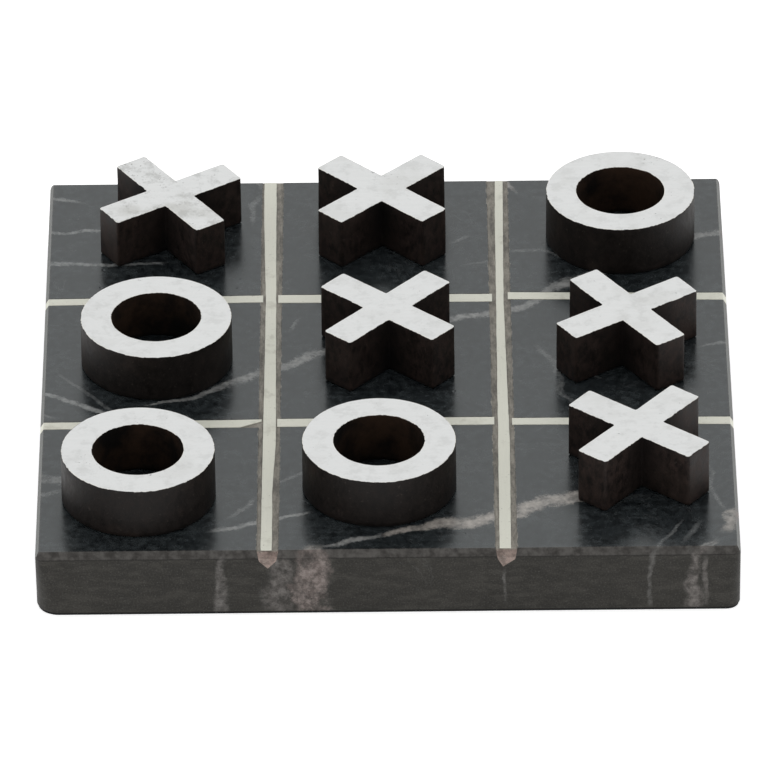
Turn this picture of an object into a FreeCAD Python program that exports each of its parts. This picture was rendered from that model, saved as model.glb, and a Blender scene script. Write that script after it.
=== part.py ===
import FreeCAD, Part
import math
import os

import Sketcher

# A tic tac toe set: a square stone board with eight metal strips let into its top,
# which rule it into nine squares, and nine cast metal playing pieces that stand on it.
# Frame: millimetres, +Z up, origin under the middle of the board at the table.
# +X is to the player's right and -Y is the edge nearest the player.

DIMENSIONS = {
    # board
    "board_side": 203.2,
    "slab_thickness": 20.0,
    "backing_thickness": 1.0,
    "backing_inset": 0.4,
    "side_bevel_width": 1.0,
    "side_bevel_height": 1.75,
    "end_bevel_width": 1.75,
    "end_bevel_height": 1.95,
    "upper_corner_round": 2.0,
    # grooves and strips that run from the back edge to the front edge, not quite square
    "left_line_front": -34.65,
    "left_line_back": -33.9,
    "right_line_front": 34.15,
    "right_line_back": 33.95,
    "groove_width": 6.3,
    "groove_wall_depth": 2.8,
    "groove_floor_width": 4.9,
    "groove_depth": 5.3,
    "left_tip_offset": 0.0,
    "right_tip_offset": -1.0,
    "long_strip_depth": 1.0,
    # square slots and short strips that run across, between the long strips
    "cross_strip_depth": 2.0,
    "slot_depth": 2.6,
    "slot_joint": 0.25,
    # castings
    "bar_length": 44.6,
    "bar_width": 10.5,
    "ring_outer_radius": 22.4,
    "ring_inner_radius": 13.1,
    "draft_angle": 0.2,
    "outer_corner_fillet": 0.9,
    "inner_corner_fillet": 0.25,
    "top_fillet": 0.3,
    # rubber pads under the castings
    "pad_thickness": 0.3,
    "pad_inset": 0.6,
    # how far a cutting shape runs out past what it cuts
    "cutter_overrun": 1.0,
}

# How far each upright corner of the stone is rounded at its foot, by which side of the
# board it is on: the front corners are worn the most.
FOOT_ROUNDS = {
    "left_front": 6.5,
    "right_front": 4.0,
    "left_back": 2.5,
    "right_back": 2.5,
}

# Long strips were cut by eye, so their width varies. Each station is a y, then the x of
# the left and right side there. A y of None is an end of the board's flat top.
LONG_STRIPS = {
    "left": [(None, -36.65, -33.4), (-69.0, -36.6, -33.4), (-44.0, -36.4, -32.5),
             (5.0, -35.9, -32.5), (33.0, -35.75, -32.7), (75.0, -36.5, -32.65),
             (None, -36.55, -32.85)],
    "right": [(None, 32.2, 35.45), (-75.0, 32.45, 35.75), (-45.0, 32.8, 35.9),
              (-17.0, 32.8, 35.75), (33.0, 33.0, 35.1), (53.0, 32.9, 35.35),
              (80.0, 33.1, 35.65), (None, 33.4, 35.75)],
}

# Cross strips: x of the left end and of the right end, then the y of the near and far
# side at the left end, then at the right end. They were cut and laid by hand, so no two
# are quite alike. An end of None runs out to the board's edge.
CROSS_STRIPS = {
    "back_left": (None, -36.6, 31.9, 35.3, 32.6, 36.4),
    "back_centre": (-32.1, 31.7, 32.2, 36.5, 31.9, 36.1),
    "back_right": (36.4, None, 33.1, 36.9, 31.7, 35.5),
    "front_left": (None, -36.7, -35.5, -31.9, -35.3, -31.2),
    "front_centre": (-32.1, 31.5, -35.2, -31.0, -35.0, -31.0),
    "front_right": (36.7, None, -35.2, -31.7, -35.9, -32.0),
}

# The front left cross strip ends in a slanted cut from its near side to its far side.
MITRE = {"mitre_start": -43.0, "mitre_top": -31.8}

# Playing pieces: x and y of the centre, turn about +Z in degrees from the square-on
# position, and height over the board with the pad. Each was cast and ground by hand.
X_PIECES = {
    "back_left": (-64.4, 69.2, -11.3, 15.8),
    "back_centre": (-1.0, 70.6, 0.2, 16.0),
    "centre": (0.5, 2.6, 2.9, 17.3),
    "middle_right": (71.1, 2.9, -10.4, 16.1),
    "front_right": (73.1, -61.5, 5.7, 17.2),
}
O_PIECES = {
    "back_right": (70.7, 68.2, 0.0, 15.9),
    "middle_left": (-67.8, 1.7, 0.0, 15.0),
    "front_left": (-72.1, -70.6, 0.0, 15.8),
    "front_centre": (-2.3, -66.5, 0.0, 15.6),
}

# Sketches are first drawn this big; the sheet's sizes then take over.
START_LENGTH = 20.0
START_WIDTH = 10.0

LEVEL_TOLERANCE = 1e-4
UPRIGHT_SHARE = 0.9
BOARD_TOP = "dims.backing_thickness + dims.slab_thickness"
HALF_SIDE = "dims.board_side / 2"

doc = FreeCAD.newDocument("tic_tac_toe_set")
dims = doc.addObject("Spreadsheet::Sheet", "dims")
parts = []


def add_cell(alias, value):
    """Write one driving dimension on the sheet's next row."""
    row = len(dims.getUsedCells()) // 2 + 1
    dims.set("A%d" % row, alias)
    dims.set("B%d" % row, str(value))
    dims.setAlias("B%d" % row, alias)


def fill_sheet():
    """Put every driving dimension in the sheet."""
    for group in (DIMENSIONS, MITRE):
        for alias, value in group.items():
            add_cell(alias, value)
    for corner, value in FOOT_ROUNDS.items():
        add_cell(corner + "_foot_round", value)
    for side, stations in LONG_STRIPS.items():
        for index, values in enumerate(stations):
            for field, value in zip(("y", "low", "high"), values):
                if value is not None:
                    add_cell("long_%s_%d_%s" % (side, index, field), value)
    for place, values in CROSS_STRIPS.items():
        fields = ("start", "end", "start_low", "start_high", "end_low", "end_high")
        for field, value in zip(fields, values):
            if value is not None:
                add_cell("cross_%s_%s" % (place, field), value)
    for kind, pieces in (("x", X_PIECES), ("o", O_PIECES)):
        for place, values in pieces.items():
            for field, value in zip(("across", "along", "turn", "height"), values):
                add_cell("%s_%s_%s" % (kind, place, field), value)
    doc.recompute()


def bind(thing, expressions):
    """Bind properties of a document object to expressions on the sheet."""
    for name, expression in expressions.items():
        thing.setExpression(name, expression)


def finish_part(thing, label):
    """Record a finished sub-part under the name of its file."""
    thing.Label = label
    parts.append(thing)
    return thing


def cut(name, base, tools):
    """Cut one or more tools from a base."""
    result = doc.addObject("Part::Cut", name)
    result.Base = base
    result.Tool = tools[0] if len(tools) == 1 else fuse(name + "_tools", tools)
    return result


def overlap(name, shapes):
    """Keep only what several shapes share."""
    result = doc.addObject("Part::MultiCommon", name)
    result.Shapes = shapes
    return result


def fuse(name, shapes):
    """Join several shapes into one."""
    result = doc.addObject("Part::MultiFuse", name)
    result.Shapes = shapes
    return result


def origin_plane(body, role):
    """One of a body's own origin planes, found by its role."""
    return [item for item in body.Origin.OriginFeatures if item.Role == role][0]


def new_sketch(body, name, role="XY_Plane"):
    """An empty sketch attached to one of the body's origin planes."""
    sketch = body.newObject("Sketcher::SketchObject", name)
    sketch.AttachmentSupport = [(origin_plane(body, role), "")]
    sketch.MapMode = "FlatFace"
    return sketch


def draw_outline(sketch, corners):
    """Draw straight lines from corner to corner, joined end to end into a loop."""
    points = [FreeCAD.Vector(x, y, 0) for x, y in corners]
    count = len(points)
    for index, point in enumerate(points):
        sketch.addGeometry(Part.LineSegment(point, points[(index + 1) % count]))
    for index in range(count):
        sketch.addConstraint(Sketcher.Constraint("Coincident", index, 2, (index + 1) % count, 1))


def drive(sketch, kind, where, start, expression):
    """Give a sketch a dimension that starts at one value and follows an expression."""
    index = sketch.addConstraint(Sketcher.Constraint(kind, *where, start))
    bind(sketch, {"Constraints[%d]" % index: expression})


def centred_rectangle(body, name, length, width):
    """A sketch of a rectangle centred on the body's origin; sizes are expressions."""
    sketch = new_sketch(body, name)
    x, y = START_LENGTH / 2, START_WIDTH / 2
    draw_outline(sketch, [(-x, -y), (x, -y), (x, y), (-x, y)])
    for index, kind in enumerate(("Horizontal", "Vertical", "Horizontal", "Vertical")):
        sketch.addConstraint(Sketcher.Constraint(kind, index))
    sketch.addConstraint(Sketcher.Constraint("Symmetric", 0, 1, 2, 1, -1, 1))
    drive(sketch, "DistanceX", (0, 1, 0, 2), START_LENGTH, length)
    drive(sketch, "DistanceY", (1, 1, 1, 2), START_WIDTH, width)
    return sketch


def ring_sketch(body, name, outer, inner):
    """A sketch of two circles about the body's origin; radii are expressions."""
    sketch = new_sketch(body, name)
    for index, (radius, size) in enumerate(((START_LENGTH, outer), (START_WIDTH, inner))):
        sketch.addGeometry(Part.Circle(FreeCAD.Vector(0, 0, 0), FreeCAD.Vector(0, 0, 1), radius))
        sketch.addConstraint(Sketcher.Constraint("Coincident", index, 3, -1, 1))
        drive(sketch, "Radius", (index,), radius, size)
    return sketch


def pad(body, sketch, name, height, taper=None):
    """Pad a sketch upwards, with the sides drawn in by an optional draft angle."""
    feature = body.newObject("PartDesign::Pad", name)
    feature.Profile = sketch
    bind(feature, {"Length": height})
    if taper:
        bind(feature, {"TaperAngle": "-(%s)" % taper})
    return feature


def edge_names(feature, wanted):
    """The names of the edges of a feature that a test picks out."""
    edges = feature.Shape.Edges
    return ["Edge%d" % (index + 1) for index, edge in enumerate(edges) if wanted(edge)]


def round_edges(body, feature, name, wanted, radius):
    """Fillet the edges of a feature that a test picks out."""
    doc.recompute()
    fillet = body.newObject("PartDesign::Fillet", name)
    fillet.Base = (feature, edge_names(feature, wanted))
    bind(fillet, {"Radius": radius})
    doc.recompute()
    return fillet


def upright(edge):
    """True for a straight edge that runs up a side, leaning by no more than the draft."""
    heights = [vertex.Z for vertex in edge.Vertexes]
    return max(heights) - min(heights) > UPRIGHT_SHARE * edge.Length


def at_top(feature):
    """A test for edges that lie in the feature's highest plane."""
    highest = max(vertex.Z for vertex in feature.Shape.Vertexes)

    def test(edge):
        return min(vertex.Z for vertex in edge.Vertexes) > highest - LEVEL_TOLERANCE

    return test


def tapered_bar(name, along, start, end, start_sides, end_sides, bottom, top):
    """A flat bar along X or Y whose two sides run straight from one end to the other.

    The ends, the low and high side at each end, the bottom and the top are expressions.
    """
    wedge = doc.addObject("Part::Wedge", name)
    if along == "X":
        wedge.Placement.Rotation = FreeCAD.Rotation(FreeCAD.Vector(0, 0, 1), 90)
        start, end = "-(%s)" % end, "-(%s)" % start
        start_sides, end_sides = end_sides, start_sides
    bind(wedge, {
        "Ymin": start, "Ymax": end,
        "Xmin": start_sides[0], "Xmax": start_sides[1],
        "X2min": end_sides[0], "X2max": end_sides[1],
        "Zmin": bottom, "Zmax": top,
        "Z2min": bottom, "Z2max": top,
    })
    return wedge


def make_blank():
    """The stone before any groove is cut: worn upright corners and a bevelled top edge."""
    body = doc.addObject("PartDesign::Body", "slab_block")
    sketch = centred_rectangle(body, "slab_plan", "dims.board_side", "dims.board_side")
    pad(body, sketch, "slab_pad", "dims.slab_thickness")
    bind(body, {"Placement.Base.z": "dims.backing_thickness"})
    doc.recompute()
    rounded = round_uprights("rounded_block", body, "dims.upper_corner_round")
    return overlap("slab_blank", [rounded, make_bevels()])


def corner_name(edge):
    """Which corner of the board an upright edge stands at, such as left_front."""
    place = edge.Vertexes[0]
    return "%s_%s" % ("left" if place.X < 0 else "right", "front" if place.Y < 0 else "back")


def round_uprights(name, block, upper):
    """Round a block's upright edges, from each corner's foot radius to one upper radius."""
    fillet = doc.addObject("Part::Fillet", name)
    fillet.Base = block
    upper_radius = read_length(upper)
    edges = []
    for index, edge in enumerate(block.Shape.Edges):
        if upright(edge):
            foot_radius = read_length("dims.%s_foot_round" % corner_name(edge))
            rises = edge.Vertexes[0].Z < edge.Vertexes[1].Z
            radii = (foot_radius, upper_radius) if rises else (upper_radius, foot_radius)
            edges.append((index + 1, *radii))
    fillet.Edges = edges
    doc.recompute()
    return fillet


def read_length(cell):
    """The value of a cell on the sheet, in millimetres."""
    return float(dims.get(cell.split(".")[1]))


def make_bevels():
    """A tall frustum whose four slopes leave the bevels along the slab's top edge."""
    frustum = doc.addObject("Part::Wedge", "bevel_frustum")
    frustum.Placement.Rotation = FreeCAD.Rotation(FreeCAD.Vector(1, 0, 0), 90)
    bind(frustum, {"Ymin": "0 mm", "Ymax": "dims.slab_thickness"})
    bind(frustum, {"Placement.Base.z": "dims.backing_thickness"})
    for axis, edge in (("X", "side"), ("Z", "end")):
        width = "dims.%s_bevel_width" % edge
        upper = "%s - %s" % (HALF_SIDE, width)
        spread = "%s * dims.slab_thickness / dims.%s_bevel_height" % (width, edge)
        bind(frustum, {
            axis + "min": "-(%s + %s)" % (upper, spread),
            axis + "max": "%s + %s" % (upper, spread),
            axis + "2min": "-(%s)" % upper,
            axis + "2max": upper,
        })
    return frustum


def make_backing():
    """The thin rubber sheet stuck under the stone, a little smaller than the stone."""
    body = doc.addObject("PartDesign::Body", "backing")
    side = "dims.board_side - 2 * dims.backing_inset"
    sketch = centred_rectangle(body, "backing_plan", side, side)
    feature = pad(body, sketch, "backing_sheet_pad", "dims.backing_thickness")
    for corner in FOOT_ROUNDS:
        radius = "dims.%s_foot_round - dims.backing_inset" % corner
        feature = round_edges(body, feature, "backing_" + corner, at_corner(corner), radius)
    return finish_part(body, "backing_sheet")


def at_corner(corner):
    """A test for the upright edge at one corner of the board."""

    def test(edge):
        straight = edge.Curve.TypeId == "Part::GeomLine"
        return upright(edge) and straight and corner_name(edge) == corner

    return test


def line_middle(side):
    """The x of a long groove where it passes the middle of the board."""
    return "(dims.%s_line_front + dims.%s_line_back) / 2" % (side, side)


def make_groove(side):
    """A groove through the board from front to back, as a solid to cut with.

    Its two walls lean in a little, and its floor slopes down to a blunt tip.
    """
    body = doc.addObject("PartDesign::Body", side + "_groove")
    sketch = new_sketch(body, side + "_groove_section", "XZ_Plane")
    x, y = START_LENGTH / 2, START_WIDTH / 2
    draw_outline(sketch, [(-x, 0), (x, 0), (y, -y), (0, -2 * y), (-y, -y)])
    sketch.addConstraint(Sketcher.Constraint("Symmetric", 0, 1, 0, 2, -1, 1))
    sketch.addConstraint(Sketcher.Constraint("Horizontal", 0))
    sketch.addConstraint(Sketcher.Constraint("Symmetric", 1, 2, 3, 2, -2))
    drive(sketch, "DistanceX", (0, 1, 0, 2), 2 * x, "dims.groove_width")
    drive(sketch, "DistanceX", (3, 2, 1, 2), 2 * y, "dims.groove_floor_width")
    drive(sketch, "DistanceY", (1, 2, 0, 2), y, "dims.groove_wall_depth")
    drive(sketch, "DistanceY", (2, 2, 0, 2), 2 * y, "dims.groove_depth")
    drive(sketch, "DistanceX", (0, 1, 2, 2), x, "dims.groove_width / 2 + dims.%s_tip_offset" % side)
    groove = pad(body, sketch, side + "_groove_pad", "dims.board_side + 2 * dims.cutter_overrun")
    groove.Midplane = True
    swing = "(dims.%s_line_front - dims.%s_line_back) / dims.board_side" % (side, side)
    bind(body, {
        "Placement.Base.x": line_middle(side),
        "Placement.Base.z": BOARD_TOP,
        "Placement.Rotation.Angle": "atan(%s)" % swing,
    })
    doc.recompute()
    return body


def make_long_strip(side):
    """A strip that runs the length of the board's flat top, between its two end bevels."""
    reach = HALF_SIDE + " - dims.end_bevel_width"
    last = len(LONG_STRIPS[side]) - 1
    stations = []
    for index in range(last + 1):
        cells = "dims.long_%s_%d_" % (side, index)
        y = {0: "-(%s)" % reach, last: reach}.get(index, cells + "y")
        stations.append((y, (cells + "low", cells + "high")))
    bottom = BOARD_TOP + " - dims.long_strip_depth"
    lengths = []
    for index, (start, end) in enumerate(zip(stations[:-1], stations[1:])):
        name = "%s_long_length_%d" % (side, index)
        lengths.append(tapered_bar(name, "Y", start[0], end[0], start[1], end[1], bottom, BOARD_TOP))
    strip = fuse(side + "_long_bar", lengths)
    strip.Refine = True
    return finish_part(strip, side + "_long_strip")


def cross_limits(place):
    """The two ends and the sides at each end of a cross strip, as expressions."""
    cells = "dims.cross_%s_" % place
    run_out = HALF_SIDE + " + dims.cutter_overrun"
    start = "-(%s)" % run_out if CROSS_STRIPS[place][0] is None else cells + "start"
    end = run_out if CROSS_STRIPS[place][1] is None else cells + "end"
    start_sides = (cells + "start_low", cells + "start_high")
    end_sides = (cells + "end_low", cells + "end_high")
    return start, end, start_sides, end_sides


def make_cross_strip(place, blank):
    """A short strip across the board; an outer end follows the slab's side bevel."""
    bottom = BOARD_TOP + " - dims.cross_strip_depth"
    bar = tapered_bar(place + "_bar", "X", *cross_limits(place), bottom, BOARD_TOP)
    strip = overlap(place + "_strip", [blank, bar])
    if place == "front_left":
        strip = cut("mitred_strip", strip, [make_mitre()])
    return finish_part(strip, place + "_cross_strip")


def make_mitre():
    """The wedge cut off the inner end of the front left cross strip."""
    low = "dims.cross_front_left_start_low - dims.slot_joint"
    end = "dims.cross_front_left_end + dims.cutter_overrun"
    return tapered_bar("mitre", "X", "dims.mitre_start", end,
                       (low, "dims.cross_front_left_end_low"), (low, "dims.mitre_top"),
                       BOARD_TOP + " - 2 * dims.cross_strip_depth",
                       BOARD_TOP + " + dims.cutter_overrun")


def make_slot(place):
    """The square slot that a cross strip is bedded in, run in under the long strips."""
    start, end, start_sides, end_sides = cross_limits(place)
    if CROSS_STRIPS[place][0] is not None:
        start = line_middle("right" if place.endswith("right") else "left")
    if CROSS_STRIPS[place][1] is not None:
        end = line_middle("left" if place.endswith("left") else "right")
    start_sides = (start_sides[0] + " - dims.slot_joint", start_sides[1] + " + dims.slot_joint")
    end_sides = (end_sides[0] + " - dims.slot_joint", end_sides[1] + " + dims.slot_joint")
    return tapered_bar(place + "_slot", "X", start, end, start_sides, end_sides,
                       BOARD_TOP + " - dims.slot_depth", BOARD_TOP + " + dims.cutter_overrun")


def make_board():
    """The stone, its backing, the strips and the resin that beds each strip."""
    blank = make_blank()
    make_backing()
    grooves = {side: make_groove(side) for side in LONG_STRIPS}
    slots = {place: make_slot(place) for place in CROSS_STRIPS}
    cutters = list(grooves.values()) + list(slots.values())
    finish_part(cut("slab", blank, cutters), "marble_slab")
    long_strips = {side: make_long_strip(side) for side in LONG_STRIPS}
    cross_strips = {place: make_cross_strip(place, blank) for place in CROSS_STRIPS}
    for side, groove in grooves.items():
        filled = overlap(side + "_groove_fill", [blank, groove])
        bed = cut(side + "_bed", filled, [long_strips[side]] + list(slots.values()))
        finish_part(bed, side + "_long_bedding")
    for place, slot in slots.items():
        filled = overlap(place + "_slot_fill", [blank, slot])
        bed = cut(place + "_bed", filled, [cross_strips[place]] + list(long_strips.values()))
        finish_part(bed, place + "_cross_bedding")


def crossed_bars(body, name, inset, height, taper=None):
    """Two bars that cross at their middles, each drawn in all round by an inset."""
    length = "dims.bar_length - 2 * (%s)" % inset
    width = "dims.bar_width - 2 * (%s)" % inset
    for label, across, along in (("first", length, width), ("second", width, length)):
        sketch = centred_rectangle(body, "%s_%s_plan" % (name, label), across, along)
        feature = pad(body, sketch, "%s_%s_bar" % (name, label), height, taper)
    return feature


def inner_corner(edge):
    """True for an upright edge in one of the four corners where two bars meet."""
    place = edge.Vertexes[0]
    return upright(edge) and math.hypot(place.X, place.Y) < read_length("dims.bar_width")


def outer_corner(edge):
    """True for an upright edge at the end of a bar."""
    return upright(edge) and not inner_corner(edge)


def ring(body, name, inset, height, taper=None):
    """A ring whose wall is drawn in on both sides by an inset."""
    outer = "dims.ring_outer_radius - (%s)" % inset
    inner = "dims.ring_inner_radius + (%s)" % inset
    return pad(body, ring_sketch(body, name + "_plan", outer, inner), name + "_ring", height, taper)


def place_body(body, cells, height, turn):
    """Set a playing piece's body on the board; its place and turn are on the sheet."""
    bind(body, {
        "Placement.Base.x": cells + "across",
        "Placement.Base.y": cells + "along",
        "Placement.Base.z": height,
        "Placement.Rotation.Angle": turn,
    })


def make_playing_piece(kind, place):
    """A metal casting with softened corners and the rubber pad stuck under it."""
    name = "%s_%s" % (kind, place)
    cells = "dims.%s_" % name
    turn = cells + "turn + 45" if kind == "x" else cells + "turn"
    shape = crossed_bars if kind == "x" else ring
    pad_body = doc.addObject("PartDesign::Body", name + "_pad")
    shape(pad_body, name + "_pad", "dims.pad_inset", "dims.pad_thickness")
    place_body(pad_body, cells, BOARD_TOP, turn)
    body = doc.addObject("PartDesign::Body", name + "_body")
    height = cells + "height - dims.pad_thickness"
    casting = shape(body, name, "0", height, "dims.draft_angle")
    if kind == "x":
        for which, test in (("outer", outer_corner), ("inner", inner_corner)):
            radius = "dims.%s_corner_fillet" % which
            casting = round_edges(body, casting, "%s_%s_corners" % (name, which), test, radius)
    doc.recompute()
    round_edges(body, casting, name + "_rim", at_top(casting), "dims.top_fillet")
    place_body(body, cells, BOARD_TOP + " + dims.pad_thickness", turn)
    finish_part(body, name + "_casting")
    finish_part(pad_body, name + "_base_pad")


def check_document():
    """Stop if any object failed to build or any sub-part's shape is unsound."""
    doc.recompute()
    for thing in doc.Objects:
        if "Invalid" in thing.State or "Error" in thing.State:
            raise RuntimeError("%s: %s" % (thing.Name, thing.State))
    for thing in parts:
        shape = thing.Shape
        if shape.isNull() or not shape.isValid() or not shape.Solids:
            raise RuntimeError("%s has no sound solid" % thing.Label)


def write_parts():
    """Write each sub-part to a file named after its label."""
    os.makedirs("parts", exist_ok=True)
    for thing in parts:
        thing.Shape.exportStep("parts/%s.step" % thing.Label)
        solids = len(thing.Shape.Solids)
        print("%-32s %d solid(s) %12.3f mm3" % (thing.Label, solids, thing.Shape.Volume))


fill_sheet()
make_board()
for place in X_PIECES:
    make_playing_piece("x", place)
for place in O_PIECES:
    make_playing_piece("o", place)
check_document()
write_parts()
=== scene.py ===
import math

import bmesh
import bpy
import numpy as np
from mathutils import Matrix, Vector, noise


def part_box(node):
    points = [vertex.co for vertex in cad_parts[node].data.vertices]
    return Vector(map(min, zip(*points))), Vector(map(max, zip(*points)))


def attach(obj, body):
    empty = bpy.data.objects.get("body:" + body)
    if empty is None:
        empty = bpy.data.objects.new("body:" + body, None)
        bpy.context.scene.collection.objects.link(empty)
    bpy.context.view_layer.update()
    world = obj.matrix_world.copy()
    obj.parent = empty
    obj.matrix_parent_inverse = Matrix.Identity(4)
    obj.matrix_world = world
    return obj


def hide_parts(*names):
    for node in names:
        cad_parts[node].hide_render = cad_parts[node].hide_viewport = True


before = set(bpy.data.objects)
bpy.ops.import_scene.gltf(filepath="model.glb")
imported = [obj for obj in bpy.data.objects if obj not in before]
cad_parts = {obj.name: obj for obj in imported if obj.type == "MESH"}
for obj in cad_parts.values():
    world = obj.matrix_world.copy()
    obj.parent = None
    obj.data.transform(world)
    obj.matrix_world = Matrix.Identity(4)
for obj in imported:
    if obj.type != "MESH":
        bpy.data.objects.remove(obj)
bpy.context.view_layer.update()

# The looks of a tic tac toe set: veined dark marble, pale metal strips bedded in brown
# resin, and cast pieces with ground, bright tops and dark, rough sides.
# Everything is in metres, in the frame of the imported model; MM turns millimetres into metres.

MM = 0.001
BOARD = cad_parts["marble_slab"]
_, SLAB_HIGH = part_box("marble_slab")
HALF_SIDE = SLAB_HIGH.x
BOARD_TOP = SLAB_HIGH.z

# Veins, as routes across the surface laid out flat, in millimetres: x, y and half width at
# each point. Past the top's edge a route runs on down the side, so a point 10 beyond
# the edge is 10 below the top. Each vein also has a tint from grey white (0) to pinkish
# beige (1), a strength, and a layer: where veins of one layer meet, only the nearer shows.
VEINS = [
    # the long diagonal
    ([(-72, -23, 0.4), (-58, -20, 0.8), (-47, -12.5, 1.5), (-37, -5, 1.9), (-30, -2.5, 2.1),
      (-20, 4.5, 1.8), (0, 13, 1.6), (20, 22.5, 1.2), (26, 23.8, 1.2), (32, 26, 1.5),
      (38, 27.3, 2.0), (45, 31.5, 1.4), (50, 39.5, 2.0), (56, 43, 2.6), (74, 55, 2.0),
      (88, 65, 1.9), (102, 70.5, 2.0), (118, 76, 1.6), (124, 79, 1.4)], 0.15, 0.8, 0),
    # the broad pink vein: up the front face, then thin along the top, then broad again
    ([(-22, -124, 4.8), (-22, -112, 4.9), (-22, -103, 4.6), (-21.5, -100.5, 4.2),
      (-21, -97.5, 2.6)], 1.0, 0.75, 1),
    ([(-20, -98.6, 0.6), (-16.8, -98, 0.9), (-12, -95.8, 1.0), (-6, -94.6, 0.9), (-3, -93.4, 0.7),
      (-1, -92.2, 0.8)], 0.15, 0.85, 2),
    ([(-2, -93.4, 0.6), (3, -90.8, 1.8), (14, -87.8, 2.3), (25, -86, 2.6), (31, -83.8, 3.0),
      (38, -81, 3.2), (46, -76.3, 3.2), (56, -73.2, 3.0), (61, -72.5, 2.0)],
     0.9, 0.95, 0),
    # left edge, back to front
    ([(-122, 93, 0.9), (-100, 91.6, 1.0), (-91, 89.2, 0.6)], 0.0, 0.6, 0),
    ([(-124, 71, 1.0), (-101, 72.6, 0.9), (-95.7, 72, 0.7), (-90.6, 73.6, 0.9), (-78, 74, 0.6)],
     0.0, 0.75, 0),
    ([(-122, 57, 1.0), (-101, 55.2, 1.1), (-88, 54.6, 0.9), (-76, 54.6, 0.6), (-66, 55, 0.7)],
     0.0, 0.75, 0),
    ([(-124, -10, 0.9), (-99, -17.2, 0.8), (-94.3, -20.4, 1.1), (-91.3, -21.8, 0.8),
      (-84.5, -26, 1.0), (-76, -31, 0.5)], 0.0, 0.9, 1),
    ([(-97, -5, 0.4), (-90, -14, 0.5), (-82, -24.5, 0.6), (-70, -40, 0.4)], 0.0, 0.3, 2),
    ([(-104, -25, 0.6), (-97.5, -30.5, 0.6)], 0.0, 0.4, 2),
    ([(-122, -58, 1.2), (-101, -61, 2.6), (-92, -63, 1.8), (-80, -66, 0.8)], 0.1, 0.55, 0),
    ([(-110, -74, 0.8), (-101, -70.2, 1.1), (-94, -67.5, 0.8)], 0.0, 0.5, 1),
    # front left cell
    ([(-52, -90, 0.6), (-47, -88.6, 1.3), (-43, -87.6, 0.8), (-37, -85, 1.1), (-31, -83.6, 1.0),
      (-22, -80, 0.5)], 0.1, 0.85, 0),
    ([(-46.7, -83.3, 0.6), (-40.4, -77.2, 0.9), (-38, -72, 0.6)], 0.0, 0.45, 1),
    ([(-33, -66, 0.5), (-23.6, -59.2, 0.6), (-16, -54, 0.4)], 0.0, 0.4, 1),
    # back row
    ([(-37.5, 93, 0.6), (-40.2, 87, 0.9), (-40, 76, 0.6)], 0.0, 0.4, 0),
    ([(19, 64, 0.6), (26, 69.8, 0.7)], 0.0, 0.3, 2),
    ([(23, 52, 0.4), (30, 54, 0.5), (36, 58.5, 0.5)], 0.0, 0.25, 2),
    ([(36, 59, 0.5), (41, 60, 0.8), (47, 60.6, 0.7), (53, 56, 0.5), (62, 52, 0.4)], 0.0, 0.35, 2),
    # middle row
    ([(-25.4, 24, 0.5), (-28.6, 16, 0.6)], 0.0, 0.4, 1),
    ([(44, 8, 0.4), (47.2, 3, 1.0), (50.6, -8, 1.1), (50.4, -19, 1.1), (56, -25, 0.6)], 0.0, 0.35, 0),
    ([(47.2, 1, 0.4), (56, -6, 0.6), (64, -11, 0.4)], 0.0, 0.4, 1),
    # front right corner
    ([(88, -124, 2.8), (88.2, -112, 2.2), (88.8, -106, 1.0), (89, -102.5, 1.2), (92, -99, 1.0),
      (95.5, -96.5, 1.0)], 0.4, 0.55, 0),
    ([(97, -93, 1.6), (98.6, -89, 2.4), (100, -84, 2.6), (108, -78, 1.8), (122, -74, 1.6)],
     0.9, 0.75, 1),
    ([(91.8, -122, 0.4), (91.5, -110, 0.5), (91.2, -103, 0.5)], 0.3, 0.4, 2),
    ([(75.5, -122, 0.3), (75, -112, 0.4), (76.2, -103, 0.7), (78.5, -98, 0.6), (82.5, -93, 0.5),
      (85.5, -86, 0.3)], 0.0, 0.4, 1),
    ([(85, -98.5, 0.6), (88.5, -91, 0.8), (90, -86, 0.5)], 0.0, 0.25, 2),
    ([(92, -52, 0.4), (95, -62, 0.6), (93.6, -68, 0.6), (96, -77, 0.5), (98, -82, 0.4)], 0.0, 0.4, 0),
    ([(33.9, -120, 0.2), (33.8, -113, 0.25), (33.4, -107, 0.3)], 0.0, 0.4, 0),
    # front face, left of the pink vein: a mottled grey band and a narrower one
    ([(-31, -124, 4.4), (-31, -112, 4.6), (-31.5, -105, 3.4), (-32, -101.5, 1.6)], 0.35, 0.5, 0),
    ([(-47.5, -124, 1.7), (-47.6, -112, 1.5), (-48.5, -106, 0.8), (-47.5, -102, 0.6)], 0.2, 0.5, 2),
    # the back and right sides
    ([(-60, 124, 1.4), (-52, 112, 1.2), (-40, 103, 1.0), (-37, 96, 0.5)], 0.2, 0.6, 1),
    ([(20, 124, 2.0), (31, 112, 1.6), (36, 102, 1.1), (40, 93, 0.5)], 0.6, 0.7, 1),
    ([(124, 20, 1.2), (110, 14, 1.1), (101, 8, 0.8), (92, 6, 0.4)], 0.0, 0.5, 2),
    ([(124, -30, 1.0), (108, -42, 1.0), (100, -48, 0.5)], 0.0, 0.4, 2),
]
VEIN_LAYERS = 3

# A vein fades out over its last stretch, and between two distances from its edge. A point
# with no vein near it is NO_VEIN metres from one.
VEIN_END_FADE = 3.0 * MM
VEIN_REACH = (2.5 * MM, 6.0 * MM)
NO_VEIN = 1.0

# The slab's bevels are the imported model's.
SIDE_BEVEL_WIDTH = 1.0 * MM
END_BEVEL_WIDTH = 1.75 * MM
END_BEVEL_HEIGHT = 1.95 * MM

# How finely the board's meshes are cut, once faces within FLAT_ANGLE degrees are joined,
# and how near the top, and how nearly level, a polished face is.
SLAB_GRID = 2.5 * MM
INLAY_GRID = 1.5 * MM
CUT_TOLERANCE = 1e-7
FLAT_ANGLE = 0.5
RIM_MARGIN = 0.01 * MM
LEVEL = 0.99

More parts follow.
